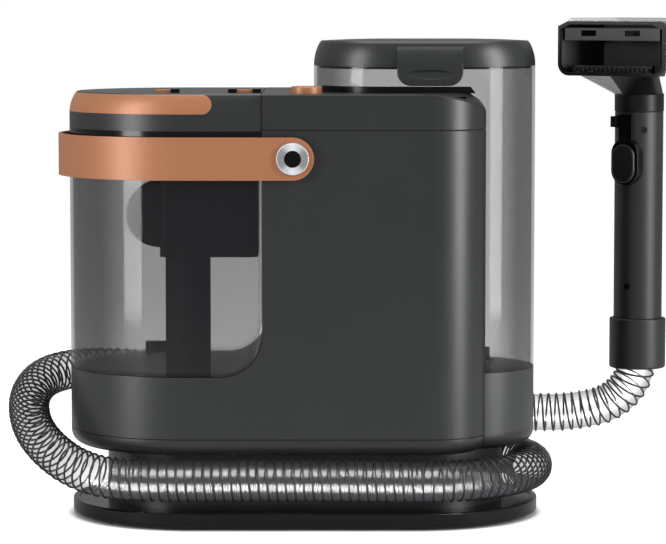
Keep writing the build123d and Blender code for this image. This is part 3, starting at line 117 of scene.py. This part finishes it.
# Polished ABS is nearly a black mirror: dark colour, tight highlights, hardly any grain
polished_black_abs = moulded(
    "polished_black_abs", "030304", "050506", 0.2, 1.6, 0.004, **{"IOR": 1.54, "Specular IOR Level": 0.25})
# Moulded rubber scatters light: no clear highlight at all
moulded_rubber = moulded("moulded_rubber", "101010", "181818", 0.75, 0.8, 0.05, IOR=1.52)
dress(polished_black_abs, "base_plate")
dress(moulded_rubber, "rubber_feet", "motor_mount", "power_cord_gland")


def turned_metal(name, colour, roughness, line_mm, **constants):
    """A drawn or turned metal: fine lines that break the gloss up along one axis."""
    material, tree = empty_material(name)
    place = add_node(tree, "ShaderNodeTexCoord")
    stretch = add_node(tree, "ShaderNodeMapping", {"Vector": (place, "Object"), "Scale": (0.04, 0.04, 1.0)})
    lines = add_node(tree, "ShaderNodeTexNoise", {
        "Vector": (stretch, 0), "Scale": 1 / (line_mm * MM), "Detail": 3.0})
    gloss = add_node(tree, "ShaderNodeMapRange", {
        "Value": (lines, "Fac"), "To Min": roughness - 0.06, "To Max": roughness + 0.08})
    bump = add_node(tree, "ShaderNodeBump", {"Height": (lines, "Fac"), "Distance": 0.01 * MM, "Strength": 0.4})
    shader = add_node(tree, "ShaderNodeBsdfPrincipled", {
        "Base Color": linear(colour), "Metallic": 1.0, "Roughness": (gloss, 0), "Normal": (bump, 0), **constants})
    show(tree, shader)
    return material


# Zinc-plated steel is a soft grey metal with short bright highlights
zinc_plated_steel = turned_metal("zinc_plated_steel", "B8BABC", 0.32, 0.6)
dress(zinc_plated_steel, "case_screws", "clean_lid_hinge_pin")


# Neck and tray: the hose winds round the satin black neck, and the body stands on the satin tray above it.
# Both are moulded ABS; the tray is rounded underneath and laps the foot of the two body shells.

# Satin ABS spreads its highlight into a soft band
satin_black_abs = moulded("satin_black_abs", "0D0D0E", "121213", 0.34, 1.6, 0.008, IOR=1.53)
dress(satin_black_abs, "hose_neck", "suction_duct", "pump_body", "rear_hose_hooks", "hose_outlet",
      "exhaust_grille")
tray_abs = moulded("satin_tray_abs", "1A1B1C", "1F2021", 0.3, 1.6, 0.008, IOR=1.53)
dress(tray_abs, "body_tray")


# Body shells and cap: charcoal satin ABS, moulded 2.5 mm thick and screwed together from the back.
# The cap closes them at the top and is rounded over at its right end.

# Charcoal ABS with a fine spark-eroded texture: a dark grey that takes broad, soft highlights
charcoal_abs = moulded("charcoal_satin_abs", "1E2020", "222424", 0.36, 1.6, 0.008, IOR=1.53)
dress(charcoal_abs, "front_shell", "rear_shell", "top_cap", "dirty_lid", "clean_tank_lid")


# Inside the body: the tank bay's walls, the dock, and the motor, pump and board that they hide.
# Plain dark mouldings, a drawn steel motor can and a lacquered circuit board.

dark_moulding = moulded(
    "dark_inner_moulding", "020202", "030303", 0.6, 2.0, 0.01, **{"IOR": 1.52, "Specular IOR Level": 0.2})
dress(dark_moulding, "tank_cradle", "tank_bay_liner", "riser_pipe", "separator_housing", "float_drum",
      "valve_seat")
dock_abs = moulded("grey_dock_abs", "2C2E2F", "313334", 0.36, 1.6, 0.008, IOR=1.53)
dress(dock_abs, "clean_tank_dock")
drawn_steel = turned_metal("drawn_motor_steel", "8E9092", 0.35, 0.5)
dress(drawn_steel, "vacuum_motor_can", "motor_rotor")
solder_mask = moulded("board_solder_mask", "0D3B22", "12492B", 0.3, 2.0, 0.03, IOR=1.5)
dress(solder_mask, "control_board")
dress(satin_black_abs, "valve_poppet", "clean_lid_gasket")
dress(polished_black_abs, "handle_pivot_pins", "tank_collar", "latch_sockets", "wand_bezel")


# Tanks: smoked SAN, moulded and polished, darker at the edges, where the eye looks along the wall.
# The bowl lifts out of the window on the left, and the clean-water tank hangs on the right of the body.

def clear_plastic(name, face_colour, edge_colour, face_alpha, edge_alpha, edge_slant, roughness, **constants):
    """A thin see-through wall: it lets light straight through, less so where it is seen edge-on."""
    material, tree = empty_material(name)
    place = add_node(tree, "ShaderNodeTexCoord")
    slant = add_node(tree, "ShaderNodeLayerWeight", {"Blend": 0.35})
    cover = add_node(tree, "ShaderNodeMapRange", {
        "Value": (slant, "Facing"), "From Min": 0.05, "From Max": edge_slant,
        "To Min": face_alpha, "To Max": edge_alpha})
    tint = add_node(tree, "ShaderNodeMix", {
        0: (slant, "Facing"), 6: linear(face_colour), 7: linear(edge_colour)}, data_type="RGBA")
    flow = add_node(tree, "ShaderNodeTexNoise", {
        "Vector": (place, "Object"), "Scale": 1 / (45 * MM), "Detail": 1.0})
    bump = add_node(tree, "ShaderNodeBump", {"Height": (flow, "Fac"), "Distance": 0.3 * MM, "Strength": 0.25})
    shader = add_node(tree, "ShaderNodeBsdfPrincipled", {
        "Base Color": (tint, 2), "Alpha": (cover, 0), "Normal": (bump, 0), "Roughness": roughness, **constants})
    show(tree, shader)
    return material


smoked_san = clear_plastic("smoked_san", "2A2B2E", "0C0D0E", 0.31, 0.5, 0.25, 0.06, IOR=1.57)
dress(smoked_san, "dirty_tank_bowl")
# The clean tank is tinted a little less than the bowl
light_smoked_san = clear_plastic("light_smoked_san", "2A2B2E", "0C0D0E", 0.24, 0.44, 0.3, 0.06, IOR=1.57)
dress(light_smoked_san, "clean_tank_shell")
black_silicone = moulded("black_silicone", "060607", "09090A", 0.16, 1.6, 0.003, IOR=1.43)
dress(black_silicone, "tank_gasket")
float_plastic = moulded("blown_polypropylene", "D4D4CE", "DEDED8", 0.45, 1.5, 0.03, IOR=1.49)
dress(float_plastic, "float_ball")


# Copper parts: the strap, the lid's trim and latches and the round power button.
# ABS under a satin copper lacquer with fine metal flake.

def copper_lacquer(name, colour, glint, roughness):
    material, tree = empty_material(name)
    place = add_node(tree, "ShaderNodeTexCoord")
    flake = add_node(tree, "ShaderNodeTexVoronoi", {"Vector": (place, "Object"), "Scale": 1 / (0.7 * MM)})
    cloud = add_node(tree, "ShaderNodeTexNoise", {
        "Vector": (place, "Object"), "Scale": 1 / (50 * MM), "Detail": 2.0})
    share = add_node(tree, "ShaderNodeMapRange", {"Value": (flake, "Distance"), "To Max": 0.6})
    tint = add_node(tree, "ShaderNodeMix", {0: (share, 0), 6: linear(colour), 7: linear(glint)}, data_type="RGBA")
    gloss = add_node(tree, "ShaderNodeMapRange", {
        "Value": (cloud, "Fac"), "To Min": roughness - 0.04, "To Max": roughness + 0.04})
    bump = add_node(tree, "ShaderNodeBump", {
        "Height": (flake, "Distance"), "Distance": 0.01 * MM, "Strength": 0.3})
    shader = add_node(tree, "ShaderNodeBsdfPrincipled", {
        "Base Color": (tint, 2), "Metallic": 0.3, "Roughness": (gloss, 0), "Normal": (bump, 0),
        "Coat Weight": 0.25, "Coat Roughness": 0.3})
    show(tree, shader)
    return material


satin_copper = copper_lacquer("satin_copper_lacquer", "A26846", "B07852", 0.46)
dress(satin_copper, "strap_handle", "lid_trim", "lid_latch_left", "lid_latch_right", "power_button")


# Pivot rings: chromed caps over the strap's pins, turned before plating, so the light lies on them in two fans.

def spun_chrome(name, colour, roughness):
    material, tree = empty_material(name)
    round_axis = add_node(tree, "ShaderNodeTangent", direction_type="RADIAL", axis="Y")
    shader = add_node(tree, "ShaderNodeBsdfPrincipled", {
        "Base Color": linear(colour), "Metallic": 1.0, "Roughness": roughness, "Anisotropic": 0.95,
        "Tangent": (round_axis, 0)})
    show(tree, shader)
    return material


dress(spun_chrome("spun_chrome_plate", "D6D8DA", 0.5), "pivot_rings")


# Springs: coils of zinc-plated spring steel under the power button, in the tank's valve and behind the trigger.
# Each sits between its seat and the piece that it pushes back.

def coil_spring(name, node, body, axis, turns, wire_mm):
    """A round wire carried round and along the axis of the sleeve that stands for the spring."""
    axis = Vector(axis).normalized()
    heights = [vertex.co.dot(axis) for vertex in nodes[node].data.vertices]
    low, high = min(heights), max(heights)
    lowest, highest = (Vector(corner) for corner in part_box(node))
    centre = (lowest + highest) / 2
    centre -= centre.dot(axis) * axis
    wire = wire_mm * MM / 2
    outside = max((vertex.co - vertex.co.dot(axis) * axis - centre).length
                  for vertex in nodes[node].data.vertices)
    side = axis.orthogonal().normalized()
    across = Matrix((side, axis, axis.cross(side))).transposed().to_4x4()
    start = centre + (low + wire) * axis + (outside - wire) * side
    steps = 20 * turns
    coil = bmesh.new()
    bmesh.ops.create_circle(coil, segments=8, radius=wire, matrix=Matrix.Translation(start) @ across)
    bmesh.ops.spin(coil, geom=coil.verts[:] + coil.edges[:], cent=centre, axis=axis,
                   dvec=(high - low - 2 * wire) / steps * axis, angle=2 * math.pi * turns, steps=steps)
    bmesh.ops.holes_fill(coil, edges=[edge for edge in coil.edges if edge.is_boundary])
    bmesh.ops.recalc_face_normals(coil, faces=coil.faces[:])
    spring = bpy.data.objects.new(name, bpy.data.meshes.new(name))
    coil.to_mesh(spring.data)
    coil.free()
    spring.data.shade_smooth()
    spring.data.materials.append(zinc_plated_steel)
    bpy.context.scene.collection.objects.link(spring)
    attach(spring, body)
    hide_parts(node)
    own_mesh(spring)


coil_spring("power_button_coil", "power_button_spring", "machine", (0, 0, 1),
            turns=5, wire_mm=1.2)
coil_spring("valve_coil", "valve_spring", "clean_tank", (0, 0, 1),
            turns=4, wire_mm=0.8)
# The wand stands turned, so that its trigger faces between the front and the left
WAND_TURN = math.radians(35)
coil_spring("trigger_coil", "trigger_spring", "wand",
            (math.sin(WAND_TURN), math.cos(WAND_TURN), 0), turns=3, wire_mm=0.7)


# Hose: a clear PVC film tube over a dark spring-wire helix, 33 mm across the ribs and 1.31 m long.
# It leaves the neck at the back, winds round it, climbs up the left and runs behind the body to the wand.

HOSE_DIAMETER = 33 * MM
RIB_PITCH = 7.0 * MM
RIB_RADIUS = 0.85 * MM
FILM_RADIUS = HOSE_DIAMETER / 2 - 1.3 * MM
TURN_CENTRE = Vector((0.085, 0.0, 0.038))
TURN_RADIUS = 0.097 / math.cos(math.radians(15))
route = [Vector((0.062, 0.097, 0.038))]
for angle in (75, 45, 15, -15, -45, -75):
    heading = math.radians(angle)
    route.append(TURN_CENTRE + TURN_RADIUS * Vector((math.cos(heading), math.sin(heading), 0)))
route += [Vector(point) * MM for point in (
    (48, -94.5, 38.3), (-40, -92.5, 38.6), (-108, -92, 38), (-148, -88, 38.5), (-175, -75, 43.5), (-197, -57, 54),
    (-215, -29, 68), (-223, 4, 82), (-223, 37, 93), (-214, 70, 101), (-192, 97, 104), (-160, 113, 103),
    (-122, 115, 100), (-50, 115.6, 91.5), (60, 115.4, 78), (150, 115, 67), (205, 113.5, 63.5), (239, 110.5, 68),
    (256, 106.5, 74.8), (269, 103, 87.5), (276, 100, 104), (276, 100, 122))]


def smooth_curve(name, points):
    """A curve that runs smoothly by the points, on one open NURBS spline."""
    curve = bpy.data.curves.new(name, "CURVE")
    curve.dimensions = "3D"
    spline = curve.splines.new("NURBS")
    spline.points.add(len(points) - 1)
    for control, point in zip(spline.points, points):
        control.co = (*point, 1.0)
    spline.order_u = 3
    spline.use_endpoint_u = True
    curve.resolution_u = 24
    piece = bpy.data.objects.new(name, curve)
    bpy.context.scene.collection.objects.link(piece)
    return piece


def line_of(piece):
    """The points of a curve's own line, read before it has any thickness."""
    bpy.context.view_layer.update()
    mesh = bpy.data.meshes.new_from_object(piece.evaluated_get(bpy.context.evaluated_depsgraph_get()))
    points = [vertex.co.copy() for vertex in mesh.vertices]
    bpy.data.meshes.remove(mesh)
    return points


def helix_round(points, radius, pitch, steps):
    """Points that wind round a line at one radius, with the winding carried along without twist."""
    travelled = [0.0]
    for a, b in zip(points, points[1:]):
        travelled.append(travelled[-1] + (b - a).length)
    side = (points[1] - points[0]).orthogonal().normalized()
    wound = []
    k = 0
    for i in range(int(travelled[-1] / pitch * steps)):
        along = i * pitch / steps
        while travelled[k + 1] < along:
            k += 1
        heading = (points[k + 1] - points[k]).normalized()
        middle = points[k].lerp(points[k + 1], (along - travelled[k]) / (travelled[k + 1] - travelled[k]))
        side = (side - side.dot(heading) * heading).normalized()
        turn = 2 * math.pi * i / steps
        wound.append(middle + radius * (math.cos(turn) * side + math.sin(turn) * heading.cross(side)))
    return wound


hose_film = smooth_curve("hose_film", route)
hose_line = line_of(hose_film)
hose_film.data.bevel_depth = FILM_RADIUS
hose_film.data.bevel_resolution = 8
hose_film.data.use_fill_caps = True
hose_film.data.materials.append(clear_plastic(
    "clear_pvc_film", "08090A", "060607", 0.22, 0.45, 0.5, 0.2, IOR=1.54))

hose_ribs = bpy.data.objects.new("hose_ribs", bpy.data.curves.new("hose_ribs", "CURVE"))
bpy.context.scene.collection.objects.link(hose_ribs)
hose_ribs.data.dimensions = "3D"
winding = helix_round(hose_line, HOSE_DIAMETER / 2 - RIB_RADIUS, RIB_PITCH, steps=24)
wire = hose_ribs.data.splines.new("POLY")
wire.points.add(len(winding) - 1)
for control, point in zip(wire.points, winding):
    control.co = (*point, 1.0)
hose_ribs.data.bevel_depth = RIB_RADIUS
hose_ribs.data.bevel_resolution = 1
hose_ribs.data.materials.append(moulded("dark_rib_vinyl", "1A1B1C", "242526", 0.3, 2.0, 0.02, IOR=1.53))
for piece in (hose_film, hose_ribs):
    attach(piece, "machine")
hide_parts("hose")


# Wand: two satin black half shells round the spray line, with a trigger in a polished bezel.
# The head is black, with a clear duct on its left and a clear hood over its back.

wand_abs = moulded("satin_wand_abs", "1A1A1B", "1F1F20", 0.44, 1.6, 0.008, IOR=1.53)
dress(wand_abs, "wand_front_shell", "wand_rear_shell", "hose_wand_cuff", "spray_bar")
dress(satin_black_abs, "nozzle_release_button", "spray_valve", "trigger_button", "brush_strip")
# The head is moulded black and stays matt. Its colour is painted darker than the handle's as painted shade, so
# that the shaded inside of its deep mouth reads as black.
painted_shade_head_abs = moulded(
    "satin_painted_shade_head_abs", "040405", "070708", 0.4, 1.6, 0.008, **{"IOR": 1.53, "Specular IOR Level": 0.3})
dress(painted_shade_head_abs, "nozzle_head")
# Blackened steel: the screws hardly show in their holes
blackened_steel = turned_metal("blackened_steel", "2A2B2C", 0.4, 0.4)
dress(blackened_steel, "wand_screws")
clear_pc = clear_plastic("clear_polycarbonate", "A4A7AA", "5C5F62", 0.25, 0.6, 0.5, 0.08, IOR=1.58)
dress(clear_pc, "nozzle_duct", "nozzle_window")


# Studio: a plain pale floor, a soft bright room and four large soft lights.
# The camera stands 2.5 m off, a little above the machine's top, and looks slightly down at it.

def studio_light(name, place, aim, width, height, power):
    light = bpy.data.lights.new(name, "AREA")
    light.shape = "RECTANGLE"
    light.size = width
    light.size_y = height
    light.energy = power
    holder = bpy.data.objects.new(name, light)
    holder.location = place
    holder.rotation_euler = (Vector(aim) - Vector(place)).to_track_quat("-Z", "Y").to_euler()
    bpy.context.scene.collection.objects.link(holder)
    return holder


floor_shape = bmesh.new()
bmesh.ops.create_grid(floor_shape, x_segments=1, y_segments=1, size=120.0)
floor = bpy.data.objects.new("floor", bpy.data.meshes.new("floor"))
floor_shape.to_mesh(floor.data)
floor_shape.free()
bpy.context.scene.collection.objects.link(floor)
floor_paint, floor_tree = empty_material("pale_floor")
ray = add_node(floor_tree, "ShaderNodeLightPath")
# The floor shows pure white, but not under the base, where the shade has to stay dark
spot = add_node(floor_tree, "ShaderNodeSeparateXYZ", {0: (add_node(floor_tree, "ShaderNodeTexCoord"), "Object")})
far_x = add_node(floor_tree, "ShaderNodeMath", {0: (spot, "X")}, operation="ABSOLUTE")
base_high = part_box("base_plate")[1]
BASE_HALF_DEPTH = base_high[1]
past_end = add_node(floor_tree, "ShaderNodeMath", {
    0: (far_x, 0), 1: base_high[0] - BASE_HALF_DEPTH}, operation="SUBTRACT")
beyond = add_node(floor_tree, "ShaderNodeMath", {0: (past_end, 0), 1: 0.0}, operation="MAXIMUM")
flat_spot = add_node(floor_tree, "ShaderNodeCombineXYZ", {"X": (beyond, 0), "Y": (spot, "Y")})
away = add_node(floor_tree, "ShaderNodeVectorMath", {0: (flat_spot, 0)}, operation="LENGTH")
clear_of_base = add_node(floor_tree, "ShaderNodeMapRange", {
    "Value": (away, "Value"), "From Min": BASE_HALF_DEPTH - 1 * MM, "From Max": BASE_HALF_DEPTH + 6 * MM,
    "To Max": 0.8})
seen = add_node(floor_tree, "ShaderNodeMath", {
    0: (ray, "Is Camera Ray"), 1: (clear_of_base, 0)}, operation="MULTIPLY")
show(floor_tree, add_node(floor_tree, "ShaderNodeBsdfPrincipled", {
    "Base Color": linear("C8C8C8"), "Roughness": 0.9,
    "Emission Color": linear("FFFFFF"), "Emission Strength": (seen, 0)}))
floor.data.materials.append(floor_paint)

sky = bpy.data.worlds.new("soft_room")
sky.use_nodes = True
room = sky.node_tree
ray = add_node(room, "ShaderNodeLightPath")
glow = add_node(room, "ShaderNodeMapRange", {"Value": (ray, "Is Camera Ray"), "To Min": 0.35, "To Max": 1.0})
room.nodes["Background"].inputs["Color"].default_value = linear("FFFFFF")
room.links.new(glow.outputs[0], room.nodes["Background"].inputs["Strength"])
bpy.context.scene.world = sky
bpy.context.scene.view_settings.view_transform = "Standard"

studio_light("left_box", (-1.35, -1.0, 0.5), (0, 0, 0.2), 0.55, 1.8, 26)
studio_light("right_box", (1.45, -0.8, 0.5), (0.1, 0, 0.2), 0.55, 1.8, 34)
studio_light("top_box", (0.0, 0.1, 1.8), (0, 0, 0.2), 1.6, 1.0, 16)
# The bright floor lies along the hose's lower front as one broad line; this box gives that reflection alone
hose_light = studio_light("hose_box", (0.0, -0.84, -0.5), (0, -0.11, 0.034), 3.0, 0.7, 1000)
lit_by_it = bpy.data.collections.new("lit_by_hose_box")
lit_by_it.objects.link(hose_film)
hose_light.light_linking.receiver_collection = lit_by_it
hose_light.light_linking.blocker_collection = lit_by_it

camera = bpy.data.objects.new("camera", bpy.data.cameras.new("camera"))
camera.location = (0.0224, -2.5, 0.413)
CAMERA_DOWN = 5.07
camera.rotation_euler = (math.radians(90 - CAMERA_DOWN), 0, 0)
camera.data.sensor_width = 36.0
camera.data.lens = 169.6
camera.data.shift_y = 0.0025
bpy.context.scene.collection.objects.link(camera)
bpy.context.scene.camera = camera
